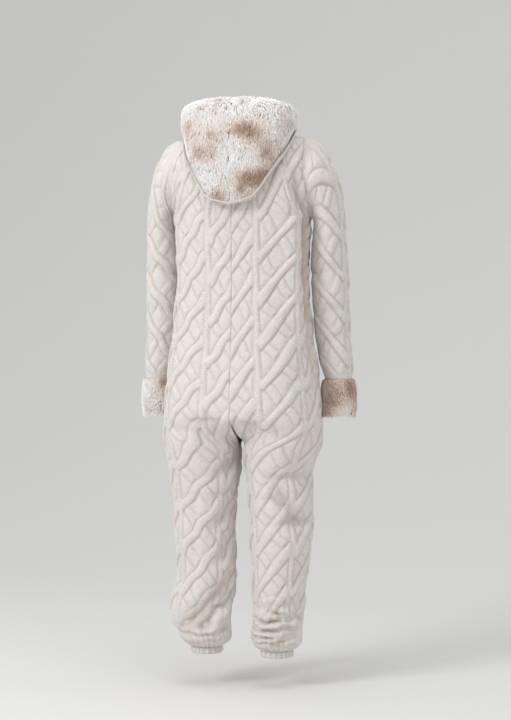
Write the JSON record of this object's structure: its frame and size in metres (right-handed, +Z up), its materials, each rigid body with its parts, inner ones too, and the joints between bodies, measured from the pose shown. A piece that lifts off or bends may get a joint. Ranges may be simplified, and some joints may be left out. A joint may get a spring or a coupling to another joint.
{
  "type": "onesie pajama",
  "caption": "Hooded one-piece pajama in plush cable-embossed fleece, with fur-lined hood thrown back, fur cuffs, bloused ankles and a front zip.",
  "frame": {"origin": "centre plane of the garment, at the height where the wearer's shoulders carry it", "axes": "+Z up towards the hood, -Y towards the front and its zip, +X towards the wearer's left"},
  "size_m": [0.574, 0.3031, 1.4357],
  "materials": {
    "fleece": "cream plush fleece with raised cables",
    "fur": "mottled cream and brown faux fur",
    "elastic_hem": "gathered elastic casing",
    "zip_tape": "woven zip tape with a moulded chain",
    "zip_metal": "satin nickel"
  },
  "bodies": {
    "garment": {"back_left": "fleece", "back_right": "fleece", "front_left": "fleece", "front_right": "fleece", "sleeve_left": "fleece", "sleeve_right": "fleece", "hood_shell": "fleece", "hood_fur_left": "fur", "hood_fur_right": "fur", "cuff_left": "fur", "cuff_right": "fur", "hem_left": "elastic_hem", "hem_right": "elastic_hem", "zip_tape": "zip_tape", "zip_slider": "zip_metal"},
    "pull_tab": {"zip_pull": "zip_metal"}
  },
  "joints": [
    {"name": "pull_tab_hinge", "type": "hinge", "parent": "garment", "child": "pull_tab", "pos_m": [0, -0.12794, -0.09764], "axis": [-1, 0, 0], "range_deg": [0, 150]}
  ]
}
